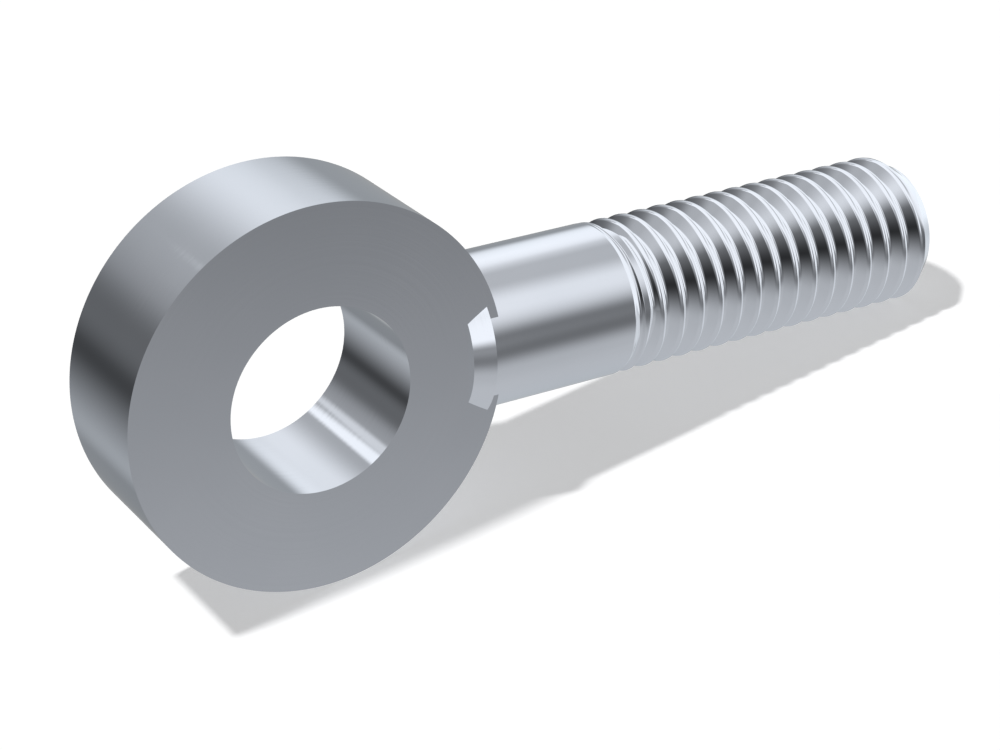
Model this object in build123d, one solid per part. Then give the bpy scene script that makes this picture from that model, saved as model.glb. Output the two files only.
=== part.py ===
from build123d import *
from math import asin, atan2, ceil, degrees, hypot, radians, tan
import os

# A one-piece swing eye bolt: a flat ring on a round shank with a short flared collar and a coarse thread.
# Millimetres, +Z up. The origin is the middle of the eye's bore, and the bore runs along Y.
# The bolt lies as it rests on a bench, on the rim of its eye and on the last thread at its tip.
# Places along the bolt are counted from the middle of the eye.

# The eye, a plain flat ring
eye_diameter = 25.0
eye_bore = 12.0
eye_thickness = 8.5

# The shank is fatter than the eye is thick, so its end stands proud of both flat faces of the ring.
# It is let into the ring by shank_seat, and flares from there to a collar that ends just inside the rim.
shank_diameter = 10.0
shank_seat = 2.45
collar_flare = 0.5
collar_length = 1.35

# The thread, M10 coarse and right-hand, cut a little under the shank's diameter
bolt_length = 46.3
thread_length = 24.5
thread_allowance = 0.04
thread_pitch = 1.5
thread_angle = 60.0
tip_chamfer = 1.1
tip_chamfer_depth = 0.88

# The groove's run-out. Its last full section lies run_out_lead inside the thread, at run_out_angle
# about the bolt, and from there it winds on at a closer pitch and rises out of the metal.
run_out_lead = 1.375
run_out_angle = 150.0
run_out_sweep = 410.0
run_out_pitch = 0.86
run_out_pieces = 3
cutter_clearance = 0.1

eye_radius = eye_diameter / 2
shank_radius = shank_diameter / 2
shank_start = eye_radius - shank_seat
collar_end = shank_start + collar_length
thread_start = bolt_length - thread_length
run_out_start = thread_start + run_out_lead

# The thread's form: 60 degree flanks, an eighth of the pitch flat at the crest and a quarter at the root
thread_radius = shank_radius - thread_allowance / 2
half_angle = radians(thread_angle / 2)
root_width = thread_pitch / 4
crest_width = thread_pitch / 8
thread_depth = (thread_pitch - root_width - crest_width) / 2 / tan(half_angle)
root_radius = thread_radius - thread_depth


def bolt_blank():
    """The bolt before its thread is cut, turned about Z: shank, collar and chamfered tip."""
    with BuildSketch(Plane.XZ) as half_section:
        with BuildLine():
            Polyline(
                (0, shank_start),
                (shank_radius, shank_start),
                (shank_radius + collar_flare, collar_end),
                (shank_radius, collar_end),
                (shank_radius, thread_start),
                (thread_radius, thread_start),
                (thread_radius, bolt_length - tip_chamfer),
                (thread_radius - tip_chamfer_depth, bolt_length),
                (0, bolt_length),
                close=True,
            )
        make_face()
    return revolve(half_section.sketch, Axis.Z)


def groove_section(radius):
    """The thread groove's section beside the axis, with its flanks carried on past the crest."""
    reach = thread_depth + cutter_clearance
    half_root = root_width / 2
    half_mouth = half_root + reach * tan(half_angle)
    with BuildSketch(Plane.XZ) as section:
        with BuildLine():
            Polyline(
                (radius, -half_root),
                (radius + reach, -half_mouth),
                (radius + reach, half_mouth),
                (radius, half_root),
                close=True,
            )
        make_face()
    return section.sketch


def full_turns():
    """The true helix from the run-out to past the tip, one cutter for each turn, about Z."""
    turn = sweep(groove_section(root_radius), Helix(thread_pitch, thread_pitch, root_radius), is_frenet=True)
    count = ceil((bolt_length - run_out_start) / thread_pitch) + 1
    return [Pos(0, 0, k * thread_pitch) * turn for k in range(count)]


def run_out_turns():
    """The groove's last turn and a bit, wound down from the same section and rising out of the metal."""
    turns = run_out_sweep / 360 / run_out_pieces
    fall = turns * run_out_pitch
    rise = (thread_depth + cutter_clearance) / run_out_pieces
    cutters = []
    for k in range(run_out_pieces):
        radius = root_radius + k * rise
        path = Helix(run_out_pitch, fall, radius, cone_angle=degrees(atan2(rise, fall)), lefthand=True)
        piece = mirror(sweep(groove_section(radius), path, is_frenet=True), Plane.XY)
        cutters.append(Pos(0, 0, -k * fall) * Rot(0, 0, -360 * turns * k) * piece)
    return cutters


def eye_bolt():
    """Ring and shank as one solid, with the bolt's axis along +X, not yet laid down."""
    groove_place = Pos(0, 0, run_out_start) * Rot(0, 0, run_out_angle)
    stem = bolt_blank() - [groove_place * cutter for cutter in full_turns() + run_out_turns()]
    along_x = Plane(origin=(0, 0, 0), x_dir=(0, 1, 0), z_dir=(1, 0, 0))
    ring = extrude(Plane.XZ * Circle(eye_radius), eye_thickness / 2, both=True)
    bore = extrude(Plane.XZ * Circle(eye_bore / 2), max(eye_thickness, shank_diameter), both=True)
    return ring + along_x.location * stem - bore


def resting_tilt():
    """How far the tip dips for the eye's rim and the thread's last crest to stand on one level."""
    reach = bolt_length - tip_chamfer
    return asin(eye_radius / hypot(reach, thread_radius)) - atan2(thread_radius, reach)


os.makedirs("parts", exist_ok=True)
tilt = degrees(resting_tilt())
bolt = Rot(0, tilt, 0) * eye_bolt()
export_step(bolt, "parts/eye_bolt.step")
print("tilt", round(tilt, 3), "degrees, volume", round(bolt.volume, 1), "mm3")
print("valid", bolt.is_valid, "solids", len(bolt.solids()), "faces", len(bolt.faces()))
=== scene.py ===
from math import asin, atan2, ceil, cos, hypot, pi, radians, sin, tan

import bmesh
import bpy
import numpy as np
from mathutils import Matrix, Vector


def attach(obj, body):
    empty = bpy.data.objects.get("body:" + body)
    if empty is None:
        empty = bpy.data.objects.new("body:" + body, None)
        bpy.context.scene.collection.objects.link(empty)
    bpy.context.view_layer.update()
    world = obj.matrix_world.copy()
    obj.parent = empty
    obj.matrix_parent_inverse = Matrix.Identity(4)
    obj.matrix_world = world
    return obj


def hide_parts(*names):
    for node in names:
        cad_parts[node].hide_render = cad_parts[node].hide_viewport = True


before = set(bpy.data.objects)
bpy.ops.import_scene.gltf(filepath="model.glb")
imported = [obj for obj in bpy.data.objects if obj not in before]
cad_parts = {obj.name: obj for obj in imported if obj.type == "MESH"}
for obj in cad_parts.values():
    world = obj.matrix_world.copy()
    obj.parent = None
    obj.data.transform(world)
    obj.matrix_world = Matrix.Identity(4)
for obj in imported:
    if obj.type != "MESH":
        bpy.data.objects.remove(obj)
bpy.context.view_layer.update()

# The bolt's sizes, in millimetres. Places along the bolt are counted from the middle of its eye.
EYE_RADIUS = 12.5
BORE_RADIUS = 6.0
EYE_THICKNESS = 8.5
SHANK_RADIUS = 5.0
SHANK_START = 10.05
COLLAR_RADIUS = 5.5
COLLAR_END = 11.4
THREAD_START = 21.8
THREAD_RADIUS = 4.98
BOLT_LENGTH = 46.3
TIP_CHAMFER = 1.1
TIP_CHAMFER_DEPTH = 0.88

# The thread's section: round roots and crests joined by straight flanks. Where the groove has less than a
# share of its full depth its root gets sharper, down to a share of its full rounding.
PITCH = 1.5
FLANK_TILT = radians(60.0)
SHARP_HEIGHT = PITCH / 2 * tan(FLANK_TILT)
THREAD_DEPTH = SHARP_HEIGHT * 5 / 8
ROOT_ROUND = SHARP_HEIGHT / 6
CREST_ROUND = SHARP_HEIGHT - THREAD_DEPTH - ROOT_ROUND
SHALLOW_SHARE = 0.5
SHARPEST_SHARE = 0.2

# The groove's run-out at the shank, where its last turn closes up and rises out of the metal. Angles along
# the groove are counted from its last full section. Between two shares of the run-out's length its edges get
# sharper than a crest, and its wall on the eye's side spreads out, but leaves a least land at the thread's
# start. It lies a little further towards the tip than an even helix would, most of all near its end.
RUN_OUT_START = 22.94
RUN_OUT_ANGLE = 94.0
RUN_OUT_SWEEP = 390.0
RUN_OUT_PITCH = 0.8
RUN_OUT_SHIFT = 0.13
SHIFT_ANGLES = -360.0, -330.0, 0.0
RUN_OUT_SHARES = 0.2, 0.7
EDGE_ROUND = 0.04
WALL_SPREAD = 4.2
LEAST_LAND = 0.03

# Where the first full turn starts, a lip of metal stands into it from the shank's side. It rises within a
# few degrees and falls away slowly.
LIP_WIDTH = 0.5
LIP_RISE = 14.0
LIP_FALL = 42.0
LIP_END = 118.0

# At the tip the groove's wall on the eye's side opens out into the chamfer, and then the groove fades out.
# Both happen between angles counted back from where the groove would meet the bolt's end.
END_ANGLE = (BOLT_LENGTH - RUN_OUT_START) / PITCH * 360
OPENING_WIDTH = 0.9
OPENING_ANGLES = END_ANGLE - 398, END_ANGLE - 218
FADING_ANGLES = END_ANGLE - 178, END_ANGLE - 122
FADED_SHARE = 0.01

# How finely the surfaces are divided
THREAD_COLUMNS = 180
ARC_STEPS = 3
EYE_SIDES = 256
ALL_ROUND = np.arange(EYE_SIDES) * 360 / EYE_SIDES
MERGE_DISTANCE = 1e-4

# The bolt lies on the rim of its eye and on the last thread at its tip, so its shank dips towards the tip
LAST_CREST = BOLT_LENGTH - TIP_CHAMFER
TILT = asin(EYE_RADIUS / hypot(LAST_CREST, THREAD_RADIUS)) - atan2(THREAD_RADIUS, LAST_CREST)
LAID_DOWN = Matrix.Rotation(TILT, 4, "Y")
BOLT_AXES = [column[:3] for column in LAID_DOWN.to_3x3().col]
MM = 0.001

NORMAL_LAYER = "true_normal"


def run_out_share(turn):
    """How much of the run-out still lies between its end and this angle along the groove."""
    return np.clip(1 + turn / RUN_OUT_SWEEP, 0, 1)


def opening_width(turn):
    """How far the groove's middle has moved on towards the tip, where its other wall opens out."""
    return np.interp(turn, OPENING_ANGLES, (0, OPENING_WIDTH))


def lip_width(turn):
    """How far the lip stands into the groove."""
    rise = np.sqrt(np.clip(turn / LIP_RISE, 0, 1))
    fall = np.clip((LIP_END - turn) / LIP_FALL, 0, 1)
    return LIP_WIDTH * np.minimum(rise, fall)


def groove_middle(turn):
    """Where the groove's middle lies. The lip moves it, but leaves the wall towards the tip in its place."""
    helix = RUN_OUT_START + turn / 360 * np.where(turn < 0, RUN_OUT_PITCH, PITCH)
    shift = np.interp(turn, SHIFT_ANGLES, (0, RUN_OUT_SHIFT, 0))
    return helix + shift + lip_width(turn) / 2 + opening_width(turn)


def groove_depth(turn):
    """The groove's depth, which falls away at both of its ends and is less beside the lip."""
    full = THREAD_DEPTH * run_out_share(turn) * np.interp(turn, FADING_ANGLES, (1, FADED_SHARE))
    return full - lip_width(turn) / 2 * tan(FLANK_TILT)


def root_round(depth):
    """The rounding of the groove's root, which is sharper where the groove is shallow."""
    return ROOT_ROUND * np.clip(depth / (SHALLOW_SHARE * THREAD_DEPTH), SHARPEST_SHARE, 1)


def half_width(depth, crest):
    """From the groove's middle to the outer end of its rounded edge, with the tilt of its steepest wall."""
    rounds = root_round(depth) + crest
    tilt = np.minimum(np.arccos(np.clip(1 - depth / rounds, -1, 1)), FLANK_TILT)
    flank = np.maximum(depth - rounds * (1 - np.cos(tilt)), 0) / tan(FLANK_TILT)
    return rounds * np.sin(tilt) + flank, tilt


def crest_round(turn):
    """The rounding of the land between the groove at this angle and its next turn."""
    here, _ = half_width(groove_depth(turn), 0)
    following, _ = half_width(groove_depth(turn + 360), 0)
    land = groove_middle(turn + 360) - groove_middle(turn) - here - following
    return np.clip(land / 2 * tan(FLANK_TILT), 0, CREST_ROUND)


def edge_rounds(turn):
    """The roundings at the groove's two edges, towards the eye and towards the tip."""
    limit = np.interp(run_out_share(turn), RUN_OUT_SHARES, (EDGE_ROUND, CREST_ROUND))
    return min(limit, crest_round(turn - 360)), min(limit, crest_round(turn))


def half_section(depth, crest, spread=1.0):
    """Half the groove's section, its width stretched by the spread: distances, heights and wall tilts."""
    width, steepest = half_width(depth, crest)
    tilts = steepest * np.linspace(0, 1, ARC_STEPS + 1)
    root = root_round(depth) * np.c_[np.sin(tilts), 1 - np.cos(tilts)]
    tilts = tilts[::-1]
    edge = np.c_[width - crest * np.sin(tilts), depth - crest * (1 - np.cos(tilts)), tilts]
    out, up, tilts = np.r_[np.c_[root, tilts[::-1]], edge].T
    return np.c_[out * spread, up, np.arctan(np.tan(tilts) / spread)]


def groove_section(turn):
    """The groove's section at one angle, from the eye's side to the tip's: places, radii and wall tilts."""
    depth = groove_depth(turn)
    near_round, far_round = edge_rounds(turn)
    spread = np.interp(run_out_share(turn), RUN_OUT_SHARES, (WALL_SPREAD, 1))
    room = groove_middle(turn) - THREAD_START - LEAST_LAND
    spread = min(spread, room / max(half_width(depth, near_round)[0], MERGE_DISTANCE))

    # Where the groove opens out, its near wall still starts at the turn before, and with a sharper edge
    near_width = PITCH / 2 + opening_width(turn) - opening_width(turn - 360)
    if near_width > PITCH / 2:
        near_round *= PITCH / 2 / near_width
        spread = near_width / half_width(depth, near_round)[0]
    near = half_section(depth, near_round, spread)
    far = half_section(depth, far_round)
    section = np.r_[near[::-1] * (-1, 1, -1), far[1:]]
    return section + (groove_middle(turn), THREAD_RADIUS - depth, 0)


def around_x(x, radius, angle, along_turn=0.0):
    """A point or direction about the bolt's axis. The angle, in degrees, runs from +Y towards +Z."""
    c, s = cos(radians(angle)), sin(radians(angle))
    return Vector((x, radius * c - along_turn * s, radius * s + along_turn * c))


def around_y(y, radius, angle):
    """A point or direction about the bore's axis."""
    return Vector((radius * cos(radians(angle)), y, radius * sin(radians(angle))))


def start_mesh():
    """An empty mesh whose corners carry the true normal of the surface that they lie on."""
    mesh = bmesh.new()
    mesh.loops.layers.float_vector.new(NORMAL_LAYER)
    return mesh


def add_face(mesh, *corners):
    """Adds a face, with each corner given as a vertex and the surface's normal there."""
    layer = mesh.loops.layers.float_vector[NORMAL_LAYER]
    face = mesh.faces.new([vertex for vertex, _ in corners])
    for loop, (_, normal) in zip(face.loops, corners):
        loop[layer] = normal


def add_turned_band(mesh, around, angles, start, end):
    """Adds the band that a line from start to end sweeps about an axis. Both are a place and a radius."""
    along, out = end[0] - start[0], end[1] - start[1]
    length = hypot(along, out)
    near, far = (
        [(mesh.verts.new(around(*point, a)), around(-out / length, along / length, a)) for a in angles]
        for point in (start, end)
    )
    for j in range(len(angles)):
        add_face(mesh, near[j - 1], near[j], far[j], far[j - 1])


def add_groove(mesh, turns):
    """Adds the groove's whole surface and gives its two edges as lists of vertices."""
    step = turns[1] - turns[0]
    columns = []
    for turn in turns:
        before, here, after = (groove_section(turn + part * step) for part in (-0.5, 0, 0.5))
        column = []
        for (x, r, tilt), (run, rise, _) in zip(here, (after - before) / radians(step)):
            normal = -sin(tilt), cos(tilt)
            lean = -(normal[0] * run + normal[1] * rise) / r
            angle = RUN_OUT_ANGLE + turn
            outward = around_x(*normal, angle, lean).normalized()
            column.append((mesh.verts.new(around_x(x, r, angle)), outward))
        columns.append(column)
    for a, b in zip(columns, columns[1:]):
        for i in range(len(a) - 1):
            add_face(mesh, a[i], b[i], b[i + 1], a[i + 1])
    return [column[0][0] for column in columns], [column[-1][0] for column in columns]


def close_up(mesh):
    """Welds the bands of a mesh together and turns its faces outwards."""
    bmesh.ops.remove_doubles(mesh, verts=mesh.verts, dist=MERGE_DISTANCE)
    bmesh.ops.dissolve_degenerate(mesh, edges=mesh.edges, dist=MERGE_DISTANCE)
    bmesh.ops.recalc_face_normals(mesh, faces=mesh.faces)


def new_object(mesh, name):
    """A Blender object from a bmesh, linked to the scene."""
    data = bpy.data.meshes.new(name)
    mesh.to_mesh(data)
    mesh.free()
    piece = bpy.data.objects.new(name, data)
    bpy.context.scene.collection.objects.link(piece)
    return piece


def make_stem():
    """The threaded stem from its end inside the ring to past the tip, as one closed mesh."""
    mesh = start_mesh()
    step = 360 / THREAD_COLUMNS
    length = RUN_OUT_SWEEP + END_ANGLE + 360
    turns = -RUN_OUT_SWEEP + step * np.arange(ceil(length / step) + 1)
    near_edge, far_edge = add_groove(mesh, turns)

    angles = RUN_OUT_ANGLE + turns[:THREAD_COLUMNS]
    profile = (
        (SHANK_START, 0),
        (SHANK_START, SHANK_RADIUS),
        (COLLAR_END, COLLAR_RADIUS),
        (COLLAR_END, SHANK_RADIUS),
        (THREAD_START, SHANK_RADIUS),
        (THREAD_START, THREAD_RADIUS),
    )
    for start, end in zip(profile, profile[1:]):
        add_turned_band(mesh, around_x, angles, start, end)

    # The land before the groove's first turn, and from there the land between one turn and the next
    shoulder = [mesh.verts.new(around_x(THREAD_START, THREAD_RADIUS, angle)) for angle in angles]
    outward = [around_x(0, 1, RUN_OUT_ANGLE + turn) for turn in turns]
    land_start = shoulder + far_edge
    closing = shoulder[-1], outward[THREAD_COLUMNS - 1]
    add_face(mesh, closing, (shoulder[0], outward[0]), (far_edge[0], outward[0]))
    for j in range(len(turns) - 1):
        corners = land_start[j], land_start[j + 1], near_edge[j + 1], near_edge[j]
        add_face(mesh, *zip(corners, (outward[j], outward[j + 1], outward[j + 1], outward[j])))
    bmesh.ops.remove_doubles(mesh, verts=mesh.verts, dist=MERGE_DISTANCE)

    # A fan closes the end past the tip, where the tip shape cuts it off
    apex = mesh.verts.new((float(groove_middle(turns[-1])), 0, 0))
    for edge in [edge for edge in mesh.edges if edge.is_boundary]:
        mesh.faces.new((*edge.verts, apex))
    close_up(mesh)
    return new_object(mesh, "stem")


def make_ring():
    """The flat ring of the eye: rim, front face, bore and back face."""
    mesh = start_mesh()
    half = EYE_THICKNESS / 2
    profile = ((-half, EYE_RADIUS), (half, EYE_RADIUS), (half, BORE_RADIUS), (-half, BORE_RADIUS))
    for start, end in zip(profile, profile[1:] + profile[:1]):
        add_turned_band(mesh, around_y, ALL_ROUND, start, end)
    close_up(mesh)
    return new_object(mesh, "ring")


def make_tip_shape():
    """A turned block that holds the whole stem and ends in the tip's chamfer and flat end."""
    mesh = start_mesh()
    block_radius = 2 * SHANK_RADIUS
    tip_radius = THREAD_RADIUS - TIP_CHAMFER_DEPTH
    cone_start = BOLT_LENGTH - TIP_CHAMFER / TIP_CHAMFER_DEPTH * (block_radius - tip_radius)
    profile = (
        (0, 0),
        (0, block_radius),
        (cone_start, block_radius),
        (BOLT_LENGTH, tip_radius),
        (BOLT_LENGTH, 0),
    )
    for start, end in zip(profile, profile[1:]):
        add_turned_band(mesh, around_x, ALL_ROUND, start, end)
    close_up(mesh)
    return new_object(mesh, "tip_shape")


def combine(body, tool, operation):
    """Joins a tool to a body, or trims the body with it, and removes the tool."""
    modifier = body.modifiers.new("combine", "BOOLEAN")
    modifier.operation = operation
    modifier.solver = "EXACT"
    modifier.object = tool
    evaluated = body.evaluated_get(bpy.context.evaluated_depsgraph_get())
    body.data = bpy.data.meshes.new_from_object(evaluated)
    body.modifiers.clear()
    bpy.data.objects.remove(tool)


def lay_down(bolt):
    """Brings the finished mesh to metres and to its resting tilt, and shades it by its true normals."""
    mesh = bolt.data
    normals = np.zeros(3 * len(mesh.loops))
    mesh.attributes[NORMAL_LAYER].data.foreach_get("vector", normals)
    normals = normals.reshape(-1, 3) @ np.array(LAID_DOWN.to_3x3()).T
    mesh.attributes.remove(mesh.attributes[NORMAL_LAYER])
    mesh.transform(LAID_DOWN @ Matrix.Scale(MM, 4))
    mesh.shade_smooth()
    mesh.normals_split_custom_set(normals / np.linalg.norm(normals, axis=1, keepdims=True))


def make_bolt():
    """The whole bolt as one closed piece, in the frame of the CAD part."""
    bolt = make_stem()
    combine(bolt, make_tip_shape(), "INTERSECT")
    combine(bolt, make_ring(), "UNION")
    bolt.name = "swing_eye_bolt"
    lay_down(bolt)
    return bolt


class Nodes:
    """A node tree with short ways to add nodes and link them."""

    def __init__(self, tree):
        self.tree = tree
        tree.nodes.clear()

    def add(self, kind, inputs=(), **settings):
        """Adds a node, sets its properties, and links or sets its inputs, by order or by name."""
        node = self.tree.nodes.new(kind)
        for name, value in settings.items():
            setattr(node, name, value)
        for key, value in inputs.items() if isinstance(inputs, dict) else enumerate(inputs):
            if isinstance(value, bpy.types.NodeSocket):
                self.tree.links.new(value, node.inputs[key])
            else:
                node.inputs[key].default_value = value
        return node

    def math(self, operation, *inputs):
        return self.add("ShaderNodeMath", inputs, operation=operation).outputs[0]

    def vector_math(self, operation, *inputs):
        node = self.add("ShaderNodeVectorMath", inputs, operation=operation)
        return node.outputs["Value"] if operation in ("DOT_PRODUCT", "LENGTH") else node.outputs[0]

    def ramp(self, value, low, high):
        """A smooth step from 0 at low to 1 at high. It falls instead where low lies above high."""
        inputs = {"Value": value, "From Min": low, "From Max": high}
        return self.add("ShaderNodeMapRange", inputs, interpolation_type="SMOOTHSTEP").outputs[0]

    def mix(self, factor, first, second):
        """A blend of two numbers."""
        return self.add("ShaderNodeMix", {0: factor, 2: first, 3: second}).outputs[0]

    def mix_colours(self, factor, first, second):
        """A blend of two colours."""
        node = self.add("ShaderNodeMix", {0: factor, 6: (*first, 1), 7: (*second, 1)}, data_type="RGBA")
        return node.outputs[2]

    def noise(self, place, size, detail, dimensions="3D"):
        """Noise from 0 to 1 whose lumps are about as large as size, in metres."""
        inputs = {"W" if dimensions == "1D" else "Vector": place, "Scale": 1 / size, "Detail": detail}
        return self.add("ShaderNodeTexNoise", inputs, noise_dimensions=dimensions).outputs[0]


# The steel's finish, with its sizes in millimetres. The ranges are the stretches of a noise from 0 to 1 over
# which one look gives way to the other. Where the polish went furthest, a part of the marks' depth is left.
# The roughness follows the marks by one share and the smears by the rest.
STEEL_COLOURS = (0.730, 0.771, 0.843), (0.754, 0.793, 0.865)
STEEL_EDGE_TINT = (0.93, 0.97, 1.0)
STEEL_ROUGHNESS = 0.03, 0.065
CLOUD_SIZE = 9.0
SMEAR_SIZE = 3.5
MARK_SPACING = 0.32
MARK_DEPTH = 0.0011
POLISHED_MARKS = 0.35
POLISH_RANGE = 0.35, 0.65
LOOK_RANGE = 0.3, 0.7
MARK_SHARE = 0.35
STEM_MARGIN = 0.05


def lathe_place(nodes, place):
    """Where the turning tool stood: along the stem, out across the eye's faces or along its rim and bore."""
    x, y, z = (nodes.vector_math("DOT_PRODUCT", place, axis) for axis in BOLT_AXES)
    from_stem = nodes.math("SQRT", nodes.math("MULTIPLY_ADD", y, y, nodes.math("MULTIPLY", z, z)))
    from_bore = nodes.math("SQRT", nodes.math("MULTIPLY_ADD", x, x, nodes.math("MULTIPLY", z, z)))
    past_seat = nodes.math("GREATER_THAN", x, SHANK_START * MM)
    in_stem = nodes.math("LESS_THAN", from_stem, (COLLAR_RADIUS + STEM_MARGIN) * MM)
    on_stem = nodes.math("MULTIPLY", past_seat, in_stem)
    return nodes.mix(on_stem, nodes.math("ADD", from_bore, y), x)


def bright_steel():
    """Bare steel, finely turned and lightly polished, with a soft and slightly cloudy shine."""
    material = bpy.data.materials.new("bright_steel")
    material.use_nodes = True
    nodes = Nodes(material.node_tree)
    place = nodes.add("ShaderNodeTexCoord").outputs["Object"]
    clouds = nodes.noise(place, CLOUD_SIZE * MM, 2.0)
    smears = nodes.noise(place, SMEAR_SIZE * MM, 3.0)
    marks = nodes.noise(lathe_place(nodes, place), MARK_SPACING * MM, 2.0, "1D")

    # The marks fade in and out where the polishing reached them more or less
    worn = nodes.mix(nodes.ramp(clouds, *POLISH_RANGE), POLISHED_MARKS, 1.0)
    height = nodes.math("MULTIPLY", marks, worn)
    bump = nodes.add("ShaderNodeBump", {"Strength": 1.0, "Distance": MARK_DEPTH * MM, "Height": height})
    smeared = nodes.math("MULTIPLY", smears, 1 - MARK_SHARE)
    shine = nodes.math("MULTIPLY_ADD", marks, MARK_SHARE, smeared)
    inputs = {
        "Base Color": nodes.mix_colours(nodes.ramp(clouds, *LOOK_RANGE), *STEEL_COLOURS),
        "Metallic": 1.0,
        "Roughness": nodes.mix(nodes.ramp(shine, *LOOK_RANGE), *STEEL_ROUGHNESS),
        "Specular Tint": (*STEEL_EDGE_TINT, 1),
        "Normal": bump.outputs[0],
    }
    shader = nodes.add("ShaderNodeBsdfPrincipled", inputs)
    nodes.add("ShaderNodeOutputMaterial", {"Surface": shader.outputs[0]})
    return material


# The photograph's view of the bolt: a camera fitted to its edges, in the bolt's own frame
VIEW_AZIMUTH = radians(-30.98523)
VIEW_ELEVATION = radians(25.39495)
VIEW_ROLL = radians(0.18357)
VIEW_POINT = (-63.247, -130.089, 68.351)
LENS = 94.719
SENSOR_WIDTH = 36.0
NEAREST = 10.0


def add_camera():
    """The camera at the photograph's viewing angle."""
    data = bpy.data.cameras.new("camera")
    data.lens = LENS
    data.sensor_width = SENSOR_WIDTH
    data.clip_start = NEAREST * MM
    camera = bpy.data.objects.new("camera", data)
    turn = Matrix.Rotation(VIEW_AZIMUTH, 4, "Z") @ Matrix.Rotation(pi / 2 - VIEW_ELEVATION, 4, "X")
    view = Matrix.Translation(Vector(VIEW_POINT) * MM) @ turn @ Matrix.Rotation(-VIEW_ROLL, 4, "Z")
    camera.matrix_world = LAID_DOWN @ view
    bpy.context.scene.collection.objects.link(camera)
    bpy.context.scene.camera = camera


# The level floor under the eye's rim and the tip, and the light that falls on it. The lamp's angles put the
# bolt's shadow about where the photograph has it.
FLOOR_LEVEL = -EYE_RADIUS
FLOOR_HALF = 2000.0
FLOOR_COLOUR = 0.7
FLOOR_GLOW = 0.39
LIGHT_AZIMUTH = radians(-9.8)
LIGHT_FALL = radians(70.9)
LIGHT_SPREAD = radians(4.0)
LIGHT_STRENGTH = 2.25
AMBIENT = 0.2


def add_floor():
    """A plain pale floor that glows a little for the camera, so it is white outside the bolt's shadow."""
    half = FLOOR_HALF * MM
    corners = ((-half, -half), (half, -half), (half, half), (-half, half))
    mesh = bmesh.new()
    mesh.faces.new([mesh.verts.new((x, y, FLOOR_LEVEL * MM)) for x, y in corners])
    floor = new_object(mesh, "floor")
    material = bpy.data.materials.new("floor")
    material.use_nodes = True
    nodes = Nodes(material.node_tree)
    seen = nodes.add("ShaderNodeLightPath").outputs["Is Camera Ray"]
    glow_colour = (FLOOR_GLOW, FLOOR_GLOW, FLOOR_GLOW, 1)
    glow = nodes.add("ShaderNodeEmission", {"Color": glow_colour, "Strength": seen})
    base = nodes.add("ShaderNodeBsdfDiffuse", {"Color": (FLOOR_COLOUR, FLOOR_COLOUR, FLOOR_COLOUR, 1)})
    both = nodes.add("ShaderNodeAddShader", (base.outputs[0], glow.outputs[0]))
    nodes.add("ShaderNodeOutputMaterial", {"Surface": both.outputs[0]})
    floor.data.materials.append(material)
    floor.visible_glossy = False


def add_lamp():
    """One large lamp far away, from the upper left."""
    data = bpy.data.lights.new("key", "SUN")
    data.energy = LIGHT_STRENGTH
    data.angle = LIGHT_SPREAD
    lamp = bpy.data.objects.new("key", data)
    lamp.rotation_euler = (0, pi / 2 - LIGHT_FALL, pi + LIGHT_AZIMUTH)
    lamp.visible_glossy = False
    bpy.context.scene.collection.objects.link(lamp)


# The studio that the steel mirrors, as seen from the bolt, with azimuth from +X towards +Y and elevation in
# degrees. Each panel has the azimuth and elevation of its middle, half its width and height, the softness of
# its sides and of its upper and lower edges, and its brightness. Later panels lie over earlier ones.
PANELS = (
    ("pale door", 50, -8, 16, 18, 12, 14, 0.37),
    ("dark floor patch", 86, -38, 16, 9, 14, 10, 0.29),
    ("front haze", -95, -4, 40, 12, 60, 24, 0.33),
    ("back haze", 125, 2, 14, 8, 16, 16, 0.15),
    ("front ground", 0, -30, 38, 15, 12, 12, 0.79),
    ("front window", 0, 15, 45, 30, 10, 10, 1.13),
    ("big window", 62, 43, 26, 26, 30, 26, 0.94),
    ("white window", 50, 31, 9, 17, 12, 22, 1.14),
    ("narrow window", 114, 41.5, 7.5, 12, 4, 4, 1.14),
    ("narrow foot", 118, 27, 3, 3, 3, 4, 0.80),
    ("top window", 120, 61, 60, 20, 20, 5, 1.14),
    ("back wall", 142, 23, 14, 8, 16, 12, 0.52),
    ("back window", 181, 34, 21, 18, 34, 18, 1.14),
    ("left glow", -52, 42, 24, 20, 36, 36, 0.96),
    ("left window", -93, 32, 17, 28, 12, 14, 1.14),
    ("far window", -130, 64, 55, 22, 20, 12, 1.14),
)

# Floor and walls are darkest at the horizon. Each step says between which elevations the tone rises, and by
# how much. The highest one is the bright ceiling.
HORIZON = -7.0
DARKEST = 0.03
FLOOR_STEPS = ((-6, -40, 0.51), (-36, -62, 0.06))
WALL_STEPS = ((-8, 34, 0.45), (30, 60, 0.09), (62, 72, 0.51))


def add_steps(nodes, elevation, steps):
    """The tone of the bare floor or walls."""
    tone = DARKEST
    for start, end, rise in steps:
        tone = nodes.math("MULTIPLY_ADD", nodes.ramp(elevation, start, end), rise, tone)
    return tone


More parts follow.
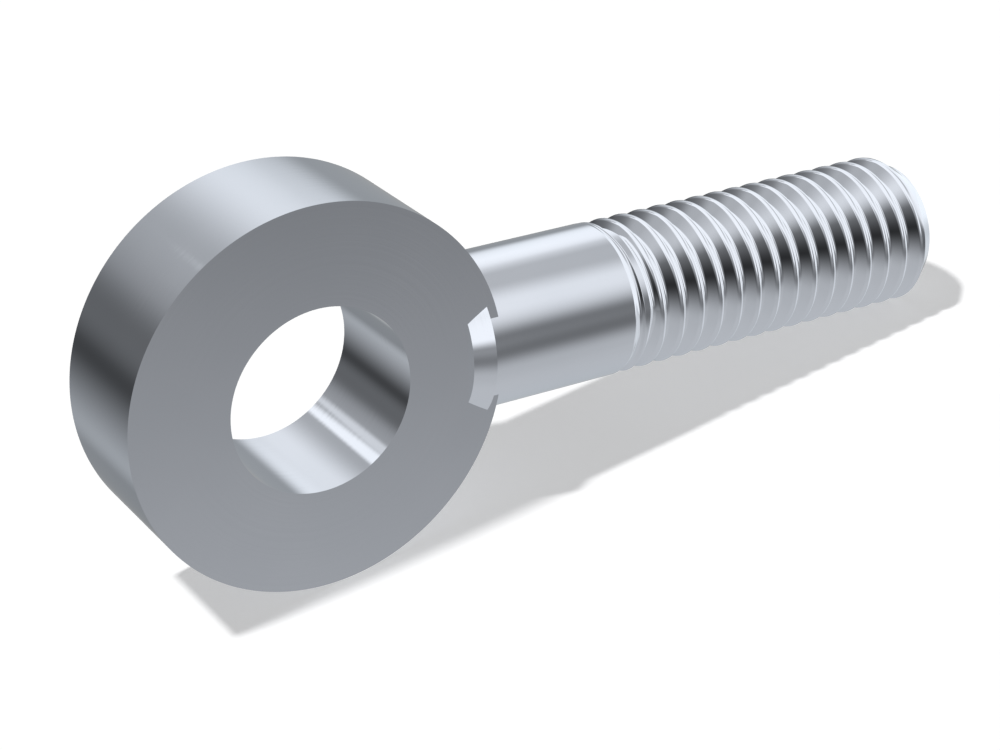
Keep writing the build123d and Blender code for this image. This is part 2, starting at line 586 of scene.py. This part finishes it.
def add_panel(nodes, tone, azimuth, elevation, panel):
    """Lays one soft-edged panel over the studio."""
    name, middle, height, side, edge, side_softness, edge_softness, brightness = panel
    aside = nodes.math("ABSOLUTE", nodes.math("WRAP", nodes.math("SUBTRACT", azimuth, middle), 180, -180))
    above = nodes.math("ABSOLUTE", nodes.math("SUBTRACT", elevation, height))
    across = nodes.ramp(aside, side + side_softness / 2, side - side_softness / 2)
    upright = nodes.ramp(above, edge + edge_softness / 2, edge - edge_softness / 2)
    tone = nodes.mix(nodes.math("MULTIPLY", across, upright), tone, brightness)
    tone.node.label = name
    return tone


def add_world():
    """The studio round the bolt, in the bolt's own frame. Only the steel's mirrored rays see it."""
    world = bpy.data.worlds.new("studio")
    world.use_nodes = True
    nodes = Nodes(world.node_tree)
    direction = nodes.add("ShaderNodeTexCoord").outputs["Generated"]
    x, y, z = (nodes.vector_math("DOT_PRODUCT", direction, axis) for axis in BOLT_AXES)
    azimuth = nodes.math("DEGREES", nodes.math("ARCTAN2", y, x))
    elevation = nodes.math("DEGREES", nodes.math("ARCSINE", z))

    floor = add_steps(nodes, elevation, FLOOR_STEPS)
    wall = add_steps(nodes, elevation, WALL_STEPS)
    tone = nodes.mix(nodes.math("LESS_THAN", elevation, HORIZON), wall, floor)
    for panel in PANELS:
        tone = add_panel(nodes, tone, azimuth, elevation, panel)

    # Diffuse rays see a plain dim light instead, and the camera plain white
    path = nodes.add("ShaderNodeLightPath")
    tone = nodes.mix(path.outputs["Is Diffuse Ray"], tone, AMBIENT)
    tone = nodes.mix(path.outputs["Is Camera Ray"], tone, 1.0)
    background = nodes.add("ShaderNodeBackground", {"Color": tone, "Strength": 1.0})
    nodes.add("ShaderNodeOutputWorld", {"Surface": background.outputs[0]})
    bpy.context.scene.world = world


bpy.context.scene.view_settings.view_transform = "Standard"
bolt = make_bolt()
bolt.data.materials.append(bright_steel())
bolt.visible_glossy = False
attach(bolt, "root")
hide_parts("eye_bolt")

add_camera()
add_floor()
add_lamp()
add_world()
